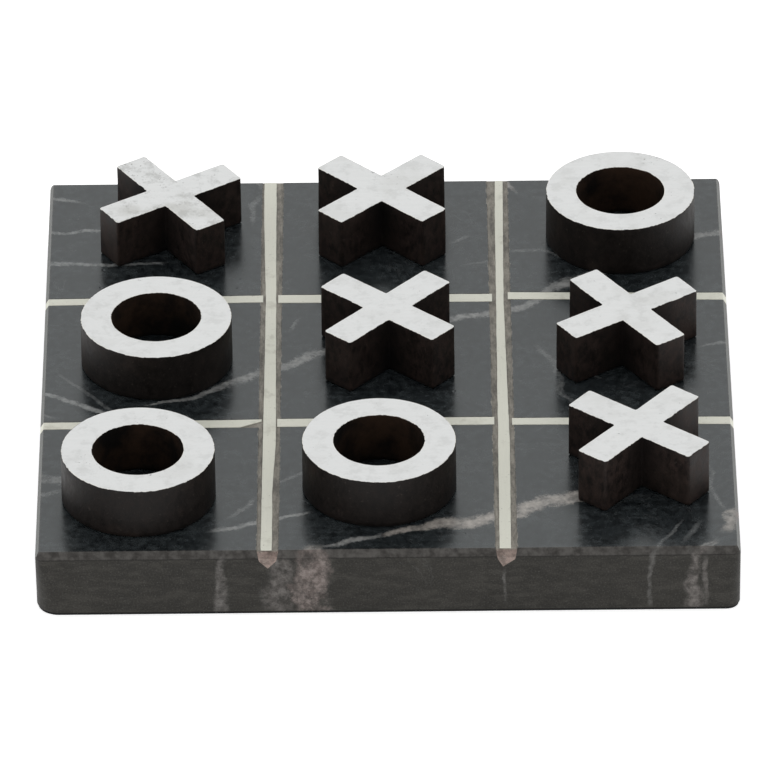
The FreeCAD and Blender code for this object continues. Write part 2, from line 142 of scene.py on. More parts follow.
# Hand-made unevenness: how far things stray, and the length of each wave of it. Each
# casting reads its noise SKIN_SHIFT metres further along, so that no two are alike.
STRIP_WANDER = 0.08 * MM
STRIP_WAVES = (5.0 * MM, 1.5 * MM)
STRIP_ROUND = 0.15 * MM
RESIN_DIP = (0.08 * MM, 0.30 * MM)
RESIN_WAVE = 2.5 * MM
SKIN_DEPTH = 0.1 * MM
SKIN_WAVES = (7.0 * MM, 1.6 * MM)
SKIN_SHIFT = 0.1

# Faces that meet at more than this many degrees keep a sharp edge between them.
SLAB_CREASE = 30
INLAY_CREASE = 40
CASTING_CREASE = 50

# Castings: lengths, corners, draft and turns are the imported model's, with finer bevels. An X
# stands with its bars DIAGONAL degrees from the board's edges, give or take its own turn.
BAR_LENGTH = 44.6 * MM
BAR_WIDTH = 10.5 * MM
BAR_CORNER = 0.9 * MM
INNER_CORNER = 0.25 * MM
RING_OUTER = 22.4 * MM
RING_INNER = 13.1 * MM
DRAFT_ANGLE = math.radians(0.2)
TOP_BEVEL = 0.18 * MM
BASE_BEVEL = 0.2 * MM
DIAGONAL = 45
X_TURNS = {"back_left": -11.3, "back_centre": 0.2, "centre": 2.9, "middle_right": -10.4,
           "front_right": 5.7}

# How finely the castings' meshes are cut.
SIDE_STEP = 1.0 * MM
OUTLINE_STEP = 0.9 * MM
CORNER_POINTS = 5
RING_POINTS = 160
BEVEL_STEPS = (0.3, 0.6, 0.85, 1.0)

# How far a casting is ground bright, from 0 on its side to 1 on its face. The cast skin's
# unevenness stops where it is more than GROUND_SMOOTH, and the flat face starts FACE_INSET in.
GROUND_BELOW_BEVEL = 0.2
GROUND_ON_BEVEL = (0.3, 0.7)
GROUND_SMOOTH = 0.75
FACE_INSET = 1.3 * TOP_BEVEL

# How far painted shade spreads from the inner corners of an X, which pieces have stained tops, and
# for each state of a top, the noise it takes to spot it and the strength of its smudges.
NOOK_REACH = 9.0 * MM
STAINED = ("x_back_left",)
TOP_STATES = {"clean": (0.62, 0.2), "stained": (0.46, 0.5)}

# Pairs of colours, dark and pale, for a noise to mix.
STONE_DEEP = ((0.001, 0.002, 0.003), (0.014, 0.0175, 0.0195))
STONE_LIGHT = ((0.021, 0.026, 0.0285), (0.037, 0.044, 0.047))
SAWN_STONE = ((0.011, 0.010, 0.008), (0.027, 0.025, 0.021))
# The two bevel colours are painted light: the front and back bevels paler than the sawn faces, the
# side bevels a painted highlight.
END_BEVEL_LIT_TONES = ((0.034, 0.031, 0.028), (0.095, 0.090, 0.084))
SIDE_BEVEL_HIGHLIGHT_TONES = ((0.12, 0.125, 0.12), (0.20, 0.205, 0.20))
POLISHED_GREY = ((0.16, 0.165, 0.165), (0.36, 0.37, 0.365))
POLISHED_ROSE = ((0.29, 0.262, 0.235), (0.52, 0.475, 0.43))
SAWN_GREY = ((0.075, 0.073, 0.069), (0.25, 0.245, 0.235))
SAWN_ROSE = ((0.12, 0.095, 0.087), (0.33, 0.28, 0.26))
RESIN = ((0.065, 0.057, 0.045), (0.37, 0.345, 0.295))
RESIN_END = ((0.115, 0.078, 0.066), (0.30, 0.215, 0.188))
STRIP_METAL = ((0.67, 0.67, 0.585), (0.85, 0.85, 0.75))
GROUND_METAL = ((0.68, 0.69, 0.685), (0.82, 0.83, 0.825))
X_SIDE = ((0.0045, 0.0032, 0.0027), (0.028, 0.018, 0.015))
O_SIDE = ((0.0045, 0.0032, 0.0027), (0.012, 0.009, 0.0078))
# X_NOOK_SHADE is painted shade, darker towards an X's inner corners; O_NOOK is the warmer brown of an
# O's inner wall.
X_NOOK_SHADE = ((0.0012, 0.0008, 0.0007), (0.008, 0.005, 0.004))
O_NOOK = ((0.002, 0.0012, 0.0008), (0.030, 0.016, 0.009))
RUBBER = ((0.006, 0.006, 0.006), (0.022, 0.021, 0.020))
WHITE = (1.0, 1.0, 1.0, 1.0)

# Floor and light, in metres and watts.
FLOOR_REACH = 30.0
FLOOR_GLOW = 0.62
WORLD_LIGHT = 0.75
LIGHT_PLACE = Vector((0.0, 1.5, 1.15))
LIGHT_SIZE = (1.8, 1.2)
LIGHT_POWER = 2.2

# Camera: a long lens, in millimetres, with its angles in degrees.
CAMERA_TARGET = Vector((-0.76, 4.16, 10.0)) * MM
CAMERA_DISTANCE = 3.127
CAMERA_AZIMUTH = 0.084
CAMERA_ELEVATION = 33.017
CAMERA_ROLL = -0.595
CAMERA_LENS = 494.22
CAMERA_CLIP = (0.1, 100.0)


# ---------------------------------------------------------------- shader building


class Shader:
    """A material being built: adds nodes and joins their sockets."""

    def __init__(self, name):
        self.material = bpy.data.materials.new(name)
        self.material.use_nodes = True
        self.tree = self.material.node_tree
        self.surface = self.tree.nodes["Principled BSDF"]
        self.place = self.add("ShaderNodeTexCoord").outputs["Object"]

    def add(self, kind, settings=(), inputs=()):
        """A new node with its properties and input sockets set."""
        made = self.tree.nodes.new(kind)
        for name, value in dict(settings).items():
            setattr(made, name, value)
        for name, value in dict(inputs).items():
            self.feed(made.inputs[name], value)
        return made

    def feed(self, socket, value):
        """Link a socket to another node's output, or set its value."""
        if isinstance(value, bpy.types.NodeSocket):
            self.tree.links.new(value, socket)
        else:
            socket.default_value = value

    def math(self, operation, *values):
        """The result of a sum on sockets and numbers."""
        node = self.add("ShaderNodeMath", {"operation": operation})
        for index, value in enumerate(values):
            self.feed(node.inputs[index], value)
        return node.outputs[0]

    def stretch(self, x, y, z):
        """The object's coordinates, scaled along each axis."""
        node = self.add("ShaderNodeMapping", inputs={"Vector": self.place, "Scale": (x, y, z)})
        return node.outputs[0]

    def noise(self, scale, detail=3.0, roughness=0.5, where=None, distortion=0.0):
        """Smooth noise about 0.5, with scale bumps to the metre."""
        inputs = {"Vector": where or self.place, "Scale": scale, "Detail": detail,
                  "Roughness": roughness, "Distortion": distortion}
        return self.add("ShaderNodeTexNoise", inputs=inputs).outputs[0]

    def cells(self, scale):
        """Distance to the nearest of a scatter of points."""
        inputs = {"Vector": self.place, "Scale": scale}
        return self.add("ShaderNodeTexVoronoi", inputs=inputs).outputs["Distance"]

    def remap(self, value, low, high, to_low=0.0, to_high=1.0):
        """A smooth step of value between two limits."""
        inputs = {"Value": value, "From Min": low, "From Max": high, "To Min": to_low,
                  "To Max": to_high}
        settings = {"interpolation_type": "SMOOTHSTEP"}
        return self.add("ShaderNodeMapRange", settings, inputs).outputs[0]

    def line(self, value, low, high, to_low, to_high):
        """A straight-line map of value, held at its ends."""
        inputs = {"Value": value, "From Min": low, "From Max": high, "To Min": to_low,
                  "To Max": to_high}
        return self.add("ShaderNodeMapRange", inputs=inputs).outputs[0]

    def mix(self, share, first, second):
        """A colour between two, each a socket or three numbers."""
        node = self.add("ShaderNodeMix", {"data_type": "RGBA"})
        self.feed(node.inputs["Factor"], share)
        self.feed(node.inputs[6], colour(first))
        self.feed(node.inputs[7], colour(second))
        return node.outputs[2]

    def attribute(self, name, output="Fac"):
        """Numbers that set_attribute stored on the mesh."""
        return self.add("ShaderNodeAttribute", {"attribute_name": name}).outputs[output]

    def split(self, vector):
        """The x, y and z of a vector."""
        return self.add("ShaderNodeSeparateXYZ", inputs={"Vector": vector}).outputs

    def bump(self, height, distance, strength, under=None):
        """A bump whose height of 1 stands for a distance in metres."""
        inputs = {"Height": height, "Distance": distance, "Strength": strength}
        if under:
            inputs["Normal"] = under
        return self.add("ShaderNodeBump", inputs=inputs).outputs[0]

    def finish(self, **inputs):
        """Set the main shader's sockets, such as Base_Color for Base Color."""
        for name, value in inputs.items():
            name = name.replace("_", " ")
            self.feed(self.surface.inputs[name], colour(value) if name == "Base Color" else value)
        return self.material


def colour(value):
    """A four-part colour from a three-part one; a socket is left alone."""
    if isinstance(value, tuple) and len(value) == 3:
        return (*value, 1.0)
    return value


# ---------------------------------------------------------------- meshes


def own_piece(name, mesh, body, nodes, material):
    """A piece of the visual model that rides on a body and stands for CAD nodes."""
    piece = bpy.data.objects.new(name, mesh)
    bpy.context.collection.objects.link(piece)
    mesh.materials.clear()
    mesh.materials.append(material)
    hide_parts(*nodes)
    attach(piece, body)
    return piece


def smooth_within(mesh, degrees):
    """Shade smooth, except across edges that turn by more than an angle."""
    mesh.polygons.foreach_set("use_smooth", [True] * len(mesh.polygons))
    mesh.set_sharp_from_angle(angle=math.radians(degrees))


def mesh_from(name, points, faces):
    """A new mesh from its points and the faces between them."""
    mesh = bpy.data.meshes.new(name)
    mesh.from_pydata([tuple(point) for point in points], [], faces)
    mesh.update()
    return mesh


def set_attribute(mesh, name, values):
    """Store one number, or one vector, for each point of a mesh."""
    values = np.asarray(values, dtype=np.float32)
    kind = "FLOAT_VECTOR" if values.ndim == 2 else "FLOAT"
    field = "vector" if values.ndim == 2 else "value"
    mesh.attributes.new(name, kind, "POINT").data.foreach_set(field, values.ravel())


def mesh_points(mesh):
    """A mesh's points, one row for each."""
    points = np.zeros(len(mesh.vertices) * 3)
    mesh.vertices.foreach_get("co", points)
    return points.reshape(-1, 3)


def cut_on_grid(mesh, step):
    """Cut a mesh along evenly spaced planes, so its points lie close together."""
    work = bmesh.new()
    work.from_mesh(mesh)
    bmesh.ops.dissolve_limit(work, angle_limit=math.radians(FLAT_ANGLE), verts=work.verts,
                             edges=work.edges)
    points = mesh_points(mesh)
    for axis in range(3):
        low, high = points[:, axis].min(), points[:, axis].max()
        count = round((high - low) / step)
        for place in np.linspace(low, high, count + 1)[1:-1]:
            normal = Vector([float(index == axis) for index in range(3)])
            bmesh.ops.bisect_plane(work, geom=work.verts[:] + work.edges[:] + work.faces[:],
                                   dist=CUT_TOLERANCE, plane_co=normal * place,
                                   plane_no=normal)
    bmesh.ops.triangulate(work, faces=work.faces)
    work.to_mesh(mesh)
    work.free()


# ---------------------------------------------------------------- veins in the marble


def laid_flat(points):
    """Points of the slab as x, y on the top, with the sides folded out flat."""
    flat = points[:, :2].copy()
    drop = BOARD_TOP - points[:, 2]
    rim = np.array([HALF_SIDE - SIDE_BEVEL_WIDTH, HALF_SIDE - END_BEVEL_WIDTH])
    outside = np.abs(points[:, :2]) - rim - RIM_MARGIN
    edge = np.argmax(outside, axis=1)
    rows = np.arange(len(points))
    on_side = outside[rows, edge] > 0
    reach = np.abs(flat[rows, edge]) + drop
    folded = np.sign(flat[rows, edge]) * reach
    flat[rows[on_side], edge[on_side]] = folded[on_side]
    return flat


def vein_field(flat, route):
    """For each point: signed distance from a route, half width there, and end fade."""
    route = np.array(route) * MM
    best = np.full(len(flat), np.inf)
    signed = np.zeros(len(flat))
    half_width = np.zeros(len(flat))
    along = np.zeros(len(flat))
    travelled = 0.0
    for start, end in zip(route[:-1], route[1:]):
        step = end[:2] - start[:2]
        length = np.hypot(*step)
        offset = flat - start[:2]
        share = np.clip(offset @ step / length**2, 0, 1)
        gap = offset - share[:, None] * step
        distance = np.hypot(gap[:, 0], gap[:, 1])
        side = np.where(step[0] * offset[:, 1] - step[1] * offset[:, 0] >= 0, 1.0, -1.0)
        closer = distance < best
        best = np.where(closer, distance, best)
        signed = np.where(closer, distance * side, signed)
        half_width = np.where(closer, start[2] + share * (end[2] - start[2]), half_width)
        along = np.where(closer, travelled + share * length, along)
        travelled += length
    to_end = np.minimum(along, travelled - along)
    return signed, half_width, np.clip(to_end / VEIN_END_FADE, 0, 1)


def paint_veins(mesh):
    """Store the veins on the slab's points, one set of numbers for each layer."""
    flat = laid_flat(mesh_points(mesh))
    for layer in range(VEIN_LAYERS):
        field = np.zeros((len(flat), 3))
        field[:, 0] = NO_VEIN
        tints = np.zeros(len(flat))
        for route, tint, strength, vein_layer in VEINS:
            if vein_layer != layer:
                continue
            signed, half_width, fade = vein_field(flat, route)
            clear = np.abs(signed) - half_width
            near = 1 - np.clip((clear - VEIN_REACH[0]) / (VEIN_REACH[1] - VEIN_REACH[0]), 0, 1)
            shown = strength * fade * near
            nearer = clear < np.abs(field[:, 0]) - field[:, 1]
            field[nearer] = np.stack([signed, half_width, shown], axis=1)[nearer]
            tints[nearer] = tint
        set_attribute(mesh, "vein_%d" % layer, field)
        set_attribute(mesh, "vein_tint_%d" % layer, tints)


# ---------------------------------------------------------------- materials


def vein_layers(shader, warp, speckle, blur):
    """How strongly the veins show at a point, and how pink they are there."""
    shown, pink = 0.0, 0.0
    for layer in range(VEIN_LAYERS):
        vein = shader.split(shader.attribute("vein_%d" % layer, "Vector"))
        distance, half_width, strength = vein
        tint = shader.attribute("vein_tint_%d" % layer)
        swing = shader.math("MULTIPLY_ADD", half_width, 0.7, 0.4 * MM)
        moved = shader.math("MULTIPLY_ADD", warp, swing, distance)
        gap = shader.math("ABSOLUTE", moved)
        swing = shader.math("MULTIPLY_ADD", half_width, 0.2, 0.5 * MM)
        ragged = shader.math("MULTIPLY_ADD", speckle, swing, gap)
        inner = shader.math("MULTIPLY", half_width, 0.35)
        outer = shader.math("MULTIPLY_ADD", half_width, 1.25, blur)
        body = shader.remap(ragged, inner, outer, 1.0, 0.0)
        body = shader.math("MULTIPLY", body, strength)
        tinted = shader.math("MULTIPLY", shader.remap(body, 0.0, 0.3), tint)
        pink = shader.math("MAXIMUM", pink, tinted)
        shown = shader.math("MAXIMUM", shown, body)
    return shown, pink


def veined(shader, ground, blur, faintest, greys, roses):
    """The stone's colour with veins and wisps over its ground, and how strongly veins show.

    faintest is what is left of a vein where it is most broken up.
    """
    warp = shader.line(shader.noise(110.0, 4.0, 0.6), 0.25, 0.75, -1.0, 1.0)
    speckle = shader.line(shader.noise(900.0, 4.0, 0.75), 0.3, 0.7, -0.5, 0.5)
    shown, pink = vein_layers(shader, warp, speckle, blur)
    broken = shader.remap(shader.noise(300.0, 4.0, 0.7), 0.32, 0.58, faintest, 1.0)
    shown = shader.math("MULTIPLY", shown, broken)
    tone = shader.remap(shader.noise(480.0, 5.0, 0.75), 0.32, 0.68)
    vein = shader.mix(pink, shader.mix(tone, *greys), shader.mix(tone, *roses))
    painted = shader.mix(shown, ground, vein)

    wisps = shader.noise(34.0, 6.0, 0.62, distortion=1.6)
    from_wisp = shader.math("ABSOLUTE", shader.math("SUBTRACT", wisps, 0.5))
    wisp = shader.remap(from_wisp, 0.0, 0.012, 1.0, 0.0)
    wisp_area = shader.remap(shader.noise(16.0, 2.0), 0.52, 0.66, 0.0, 0.2)
    wisp = shader.math("MULTIPLY", wisp, wisp_area)
    return shader.mix(wisp, painted, (0.12, 0.125, 0.125)), shown


def with_specks(shader, ground, grit):
    """Fine pale specks over a stone's ground colour."""
    return shader.mix(shader.remap(grit, 0.58, 0.75, 0.0, 0.45), ground, (0.085, 0.083, 0.078))


def stone_clouds(shader):
    return shader.noise(28.0, 4.0, 0.6, distortion=0.6)


def stone_mottle(shader):
    return shader.noise(420.0, 4.0, 0.65)


def stone_grit(shader):
    return shader.noise(1900.0, 3.0, 0.7)


def stone_pits(shader):
    """Scattered pinholes: 0 in a hole and 1 on the surface."""
    return shader.remap(shader.cells(170.0), 0.04, 0.10, 0.0, 1.0)


def polished_marble():
    """The slab's top: dark slate blue, honed from side to side and then polished."""
    shader = Shader("marble_polished")
    x, y, _ = shader.split(shader.place)
    mottle = stone_mottle(shader)
    hone = shader.noise(60.0, 4.0, 0.65, shader.stretch(0.12, 9.0, 1.0))
    drift = shader.remap(shader.noise(90.0, 5.0, 0.7, distortion=0.4), 0.35, 0.65)
    fine = shader.math("MULTIPLY_ADD", hone, 0.2, shader.math("MULTIPLY", mottle, 0.8))
    deep = shader.mix(stone_clouds(shader), *STONE_DEEP)
    light = shader.mix(drift, *STONE_LIGHT)
    ground = shader.mix(shader.remap(fine, 0.36, 0.64), deep, light)
    ground = rim_wear_and_highlight(shader, ground, x, y, mottle)
    ground = with_specks(shader, ground, stone_grit(shader))
    painted, shown = veined(shader, ground, 0.2 * MM, 0.45, POLISHED_GREY, POLISHED_ROSE)

    resin = resin_share(shader, x, y)
    painted = shader.mix(resin, painted, shader.mix(resin_tone(shader), *RESIN))
    dull = shader.math("MAXIMUM", shader.math("MULTIPLY", shown, 0.5), resin)
    stone_rough = shader.math("MULTIPLY_ADD", mottle, 0.14, 0.16)
    rough = shader.math("MULTIPLY_ADD", dull, 0.25, stone_rough)
    height = shader.math("MULTIPLY_ADD", hone, 0.25, shader.math("MULTIPLY", mottle, 0.5))
    under = shader.bump(height, 0.02 * MM, 0.5)
    return shader.finish(Base_Color=painted, Roughness=rough, IOR=1.62, Specular_IOR_Level=0.5,
                         Specular_Tint=(0.94, 1.0, 1.0, 1.0),
                         Normal=shader.bump(stone_pits(shader), 0.1 * MM, 0.4, under))


def sawn_marble():
    """The slab's sides, bevels and underside: matt, with fine grain and a few small pits."""
    shader = Shader("marble_sawn")
    mottle = stone_mottle(shader)
    grit = stone_grit(shader)
    ground = sawn_ground(shader, mottle, grit)
    ground = with_specks(shader, ground, grit)
    painted, _ = veined(shader, ground, 0.4 * MM, 0.2, SAWN_GREY, SAWN_ROSE)
    under = shader.bump(shader.math("MULTIPLY_ADD", grit, 0.5, mottle), 0.06 * MM, 0.5)
    rough = shader.math("MULTIPLY_ADD", mottle, 0.2, 0.42)
    return shader.finish(Base_Color=painted, Roughness=rough, IOR=1.5, Specular_IOR_Level=0.22,
                         Normal=shader.bump(stone_pits(shader), 0.12 * MM, 0.5, under))


def past_top(shader, coordinate, bevel_width):
    """How far a point is past the edge of the slab's flat top, in metres."""
    return shader.math("SUBTRACT", shader.math("ABSOLUTE", coordinate), HALF_SIDE - bevel_width)


def rim_wear_and_highlight(shader, ground, x, y, mottle):
    """A narrow, ragged paler band along the polished top's rim: wear, and a painted highlight along
    the edge.
    """
    past_side = past_top(shader, x, SIDE_BEVEL_WIDTH)
    past_end = past_top(shader, y, END_BEVEL_WIDTH)
    past = shader.math("MAXIMUM", past_side, past_end)
    ragged = shader.math("MULTIPLY_ADD", mottle, 1.6 * MM, past)
    share = shader.remap(ragged, 0.2 * MM, 0.9 * MM, 0.0, 0.7)
    # The paler rim band is partly wear and partly a painted edge highlight.
    return shader.mix(share, ground, (0.050, 0.047, 0.044))


def sawn_ground(shader, mottle, grit):
    """Unpolished stone: olive brown with saw marks; the top edge's bevels are painted paler for the
    light they catch, the side bevels palest as a painted highlight, with a painted shade line at
    their foot.
    """
    facing_x, _, facing_z = shader.split(shader.add("ShaderNodeTexCoord").outputs["Normal"])
    upward = shader.remap(facing_z, 0.25, 0.40)
    sideways = shader.remap(shader.math("ABSOLUTE", facing_x), 0.5, 0.7)
    saw = shader.noise(150.0, 4.0, 0.7, shader.stretch(1.0, 1.0, 3.0))
    face = shader.mix(stone_clouds(shader), *SAWN_STONE)
    face = shader.mix(shader.remap(saw, 0.42, 0.66, 0.0, 0.6), face, (0.044, 0.041, 0.035))
    face = shader.mix(shader.remap(grit, 0.25, 0.48, 0.7, 0.0), face, (0.006, 0.0055, 0.005))
    face = shader.mix(shader.remap(grit, 0.50, 0.65, 0.0, 0.35), face, (0.065, 0.062, 0.055))
    # Painted light by facing: bevels that face up are paler, and side bevels paler still, a painted
    # highlight.
    lit_end_bevel = shader.mix(shader.remap(mottle, 0.3, 0.7), *END_BEVEL_LIT_TONES)
    highlit_side_bevel = shader.mix(mottle, *SIDE_BEVEL_HIGHLIGHT_TONES)
    ground = shader.mix(upward, face, shader.mix(sideways, lit_end_bevel, highlit_side_bevel))

    # Painted shade: a dark line along the height where the front and back bevels meet the faces below
    # them.
    _, _, z = shader.split(shader.place)
    foot = shader.math("ABSOLUTE", shader.math("SUBTRACT", z, BOARD_TOP - END_BEVEL_HEIGHT))
    crease_shade = shader.remap(foot, 0.05 * MM, 0.30 * MM, 0.6, 0.0)
    return shader.mix(crease_shade, ground, (0.008, 0.007, 0.006))


def band_ends(node):
    """Where a bed of resin meets the stone's flat top: y, low x and high x at both ends."""
    points = mesh_points(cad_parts[node].data)
    top = points[points[:, 2] > BOARD_TOP - RIM_MARGIN]
    ends = []
    for y in (top[:, 1].min(), top[:, 1].max()):
        across = top[np.abs(top[:, 1] - y) < RIM_MARGIN, 0]
        ends.append((y, across.min(), across.max()))
    return ends


def resin_share(shader, x, y):
    """Where bedding resin was smeared onto the stone beside the two long grooves."""
    ragged = shader.line(shader.noise(240.0, 4.0, 0.7), 0.3, 0.7, -0.35 * MM, 0.25 * MM)
    share = 0.0
    for node in ("left_long_bedding", "right_long_bedding"):
        (front, front_low, front_high), (back, back_low, back_high) = band_ends(node)
        front_middle = (front_low + front_high) / 2
        back_middle = (back_low + back_high) / 2
        middle = shader.line(y, front, back, front_middle, back_middle)
        reach = (front_high - front_low) / 2
        away = shader.math("ABSOLUTE", shader.math("SUBTRACT", x, middle))
        edge = shader.math("SUBTRACT", away, ragged)
        smeared = shader.remap(edge, reach, reach + 0.25 * MM, 1.0, 0.0)
        share = shader.math("MAXIMUM", share, smeared)
    return share


def resin_tone(shader):
    """Dark and pale in the resin, drawn out along the grooves by the trowel."""
    drawn_out = shader.stretch(1.0, 0.3, 1.0)
    return shader.remap(shader.noise(520.0, 5.0, 0.75, drawn_out), 0.25, 0.75)


def resin_material():
    """Brown bedding resin with stone dust in it: porous, and pinker at its sawn ends."""
    shader = Shader("bedding_resin")
    tone = resin_tone(shader)
    grit = shader.noise(1500.0, 3.0, 0.7)
    base = shader.mix(tone, *RESIN)
    _, y, _ = shader.split(shader.place)
    past_end = past_top(shader, y, END_BEVEL_WIDTH)
    end_tone = shader.remap(shader.noise(520.0, 4.0, 0.75), 0.35, 0.65)
    end = shader.mix(end_tone, *RESIN_END)
    base = shader.mix(shader.remap(past_end, 0.0, 0.5 * MM, 0.0, 0.75), base, end)
    base = shader.mix(shader.remap(grit, 0.58, 0.75, 0.0, 0.6), base, (0.38, 0.36, 0.33))
    base = shader.mix(shader.remap(grit, 0.25, 0.40, 0.7, 0.0), base, (0.03, 0.025, 0.02))
    rough = shader.math("MULTIPLY_ADD", tone, 0.25, 0.4)
    return shader.finish(Base_Color=base, Roughness=rough, IOR=1.45,
                         Normal=shader.bump(grit, 0.08 * MM, 0.6))


def strip_material(along):
    """Pale metal strip: ground along its length, dulled and stained in places."""
    shader = Shader("strip_metal_" + along)
    scale = (40.0, 1.0, 1.0) if along == "y" else (1.0, 40.0, 1.0)
    grain = shader.noise(90.0, 4.0, 0.7, shader.stretch(*scale))
    stain = shader.noise(120.0, 4.0, 0.65)
    dust = shader.noise(900.0, 3.0, 0.7)
    base = shader.mix(grain, *STRIP_METAL)
    base = shader.mix(shader.remap(stain, 0.55, 0.72, 0.0, 0.55), base, (0.52, 0.51, 0.43))
    base = shader.mix(shader.remap(dust, 0.62, 0.74, 0.0, 0.5), base, (0.30, 0.28, 0.24))
    rough = shader.line(grain, 0.3, 0.7, 0.42, 0.6)
    height = shader.math("MULTIPLY_ADD", dust, 0.4, grain)
    return shader.finish(Base_Color=base, Metallic=0.35, Roughness=rough, IOR=1.5,
                         Normal=shader.bump(height, 0.03 * MM, 0.5))


def ground_metal(shader, scrape, pores, rim, staining, smudging):
    """The ground face: scraped, smudged and spotted, with a cream rim that is a painted highlight
    along its edge.

    Spots spread where a noise passes staining, so a lower value gives more of them.
    """
    stain = shader.noise(60.0, 4.0, 0.65)
    smudge = shader.noise(210.0, 4.0, 0.7)
    base = shader.mix(scrape, *GROUND_METAL)
    smudged = shader.remap(smudge, 0.48, 0.66, 0.0, smudging)
    base = shader.mix(smudged, base, (0.38, 0.385, 0.37))
    stained = shader.remap(stain, 0.50, 0.70, 0.0, smudging)
    base = shader.mix(stained, base, (0.50, 0.50, 0.47))
    spots = shader.remap(pores, 0.40, 0.32, 0.0, 0.9)
    spot_area = shader.remap(shader.noise(42.0, 3.0, 0.6), staining, staining + 0.10)
    base = shader.mix(shader.math("MULTIPLY", spots, spot_area), base, (0.10, 0.09, 0.08))
    # Painted highlight: a cream band along the ground rim.
    return shader.mix(rim, base, (0.93, 0.90, 0.82))


def cast_skin(shader, grain, chalk, nook, side_tones, nook_shade_tint_pairs):
    """The dark sides: grainy and dusty, with painted shade in an X's inner corners and a warmer brown
    on an O's inner wall.
    """
    patina = shader.noise(60.0, 4.0, 0.65)
    base = shader.mix(shader.remap(grain, 0.3, 0.7), *side_tones)
    base = shader.mix(shader.remap(patina, 0.50, 0.72, 0.0, 0.5), base, (0.030, 0.021, 0.017))
    base = shader.mix(shader.remap(chalk, 0.60, 0.76, 0.0, 0.35), base, (0.07, 0.058, 0.050))
    # Painted shade in an X's inner corners, where the nook mask is high; on an O the same mix gives
    # its inner wall a warmer brown.
    nook_shade_and_tint = shader.mix(shader.remap(patina, 0.35, 0.65), *nook_shade_tint_pairs)
    return shader.mix(nook, base, nook_shade_and_tint)


def casting_material(name, staining, smudging, side_tones, nook_shade_tint_pairs):
    """Cast metal: the top ground bright, the sides left dark and rough from the mould."""
    shader = Shader(name)
    ground_face = shader.attribute("ground")
    # nook: 1 in an X's inner corners, where shade is painted, and on an O's inner wall.
    nook = shader.attribute("nook")
    ragged = shader.line(shader.noise(650.0, 4.0, 0.7), 0.3, 0.7, -0.22, 0.22)
    nicks = shader.remap(shader.noise(160.0, 4.0, 0.7), 0.52, 0.62, 0.0, -0.30)
    ragged = shader.math("ADD", ragged, nicks)
    bright = shader.remap(shader.math("ADD", ground_face, ragged), 0.42, 0.58)
    # rim: a band on the top bevel that gets a painted cream highlight.
    rim_start = shader.remap(ground_face, 0.50, 0.60)
    rim_end = shader.remap(ground_face, 0.75, 0.95, 1.0, 0.0)
    rim = shader.math("MULTIPLY", rim_start, rim_end)

    scrape = shader.noise(130.0, 4.0, 0.65, shader.stretch(1.0, 5.0, 1.0))
    pores = shader.noise(900.0, 4.0, 0.75)
    grain = shader.noise(420.0, 4.0, 0.75, shader.stretch(1.0, 1.0, 0.7))
    chalk = shader.noise(800.0, 3.0, 0.7)
    face = ground_metal(shader, scrape, pores, rim, staining, smudging)
    side = cast_skin(shader, grain, chalk, nook, side_tones, nook_shade_tint_pairs)

    side_rough = shader.line(grain, 0.3, 0.7, 0.42, 0.62)
    side_rough = shader.math("MULTIPLY_ADD", nook, 0.3, side_rough)
    face_rough = shader.line(scrape, 0.3, 0.7, 0.30, 0.42)
    rough = shader.add("ShaderNodeMix", inputs={0: bright, 2: side_rough, 3: face_rough})
    under = shader.bump(shader.math("MULTIPLY_ADD", grain, 0.8, chalk), 0.12 * MM, 0.6)
    return shader.finish(Base_Color=shader.mix(bright, side, face),
                         Metallic=shader.math("MULTIPLY", bright, 0.75),
                         Roughness=rough.outputs[0], IOR=1.5, Specular_IOR_Level=0.18,
                         Normal=shader.bump(pores, 0.03 * MM, 0.5, under))


def rubber_material(name):
    """Black rubber with dust on it and a fine moulded grain."""
    shader = Shader(name)
    dust = shader.noise(500.0, 4.0, 0.7)
    grain = shader.noise(2500.0, 2.0, 0.5)
    base = shader.mix(shader.remap(dust, 0.45, 0.75), *RUBBER)
    rough = shader.line(dust, 0.3, 0.7, 0.6, 0.85)
    return shader.finish(Base_Color=base, Roughness=rough, Specular_IOR_Level=0.25,
                         Normal=shader.bump(grain, 0.05 * MM, 0.5))


# ---------------------------------------------------------------- board


def make_slab():
    """The stone, cut fine enough to carry its veins, polished on its top face only."""
    mesh = BOARD.data.copy()
    mesh.name = "veined_slab_mesh"
    cut_on_grid(mesh, SLAB_GRID)
    paint_veins(mesh)
    smooth_within(mesh, SLAB_CREASE)
    own_piece("veined_slab", mesh, "board", ["marble_slab"], polished_marble())
    mesh.materials.append(sawn_marble())
    for face in mesh.polygons:
        level = face.normal.z > LEVEL and face.center.z > BOARD_TOP - RIM_MARGIN
        face.material_index = 0 if level else 1


def inlay_mesh(node):
    """A copy of an inlay's mesh, cut fine enough to be made uneven."""
    mesh = node.data.copy()
    mesh.name = node.name + "_uneven_mesh"
    cut_on_grid(mesh, INLAY_GRID)
    return mesh


def uneven_strip(node):
    """A strip whose long edges wander a little, as hand-cut metal does."""
    mesh = inlay_mesh(node)
    across = 0 if "long" in node.name else 1
    long_wave, short_wave = STRIP_WAVES
    for point in mesh.vertices:
        place = Vector(point.co)
        wander = noise.noise(place / long_wave) + 0.5 * noise.noise(place / short_wave)
        point.co[across] += wander * STRIP_WANDER
    return mesh


def sunken_resin(node):
    """A bed of resin that shrank as it set, so that it lies a little below the stone."""
    mesh = inlay_mesh(node)
    least, most = RESIN_DIP
    for point in mesh.vertices:
        if point.co.z > BOARD_TOP - RIM_MARGIN:
            share = 0.5 + 0.5 * noise.noise(Vector(point.co) / RESIN_WAVE)
            point.co.z -= least + (most - least) * share
    return mesh


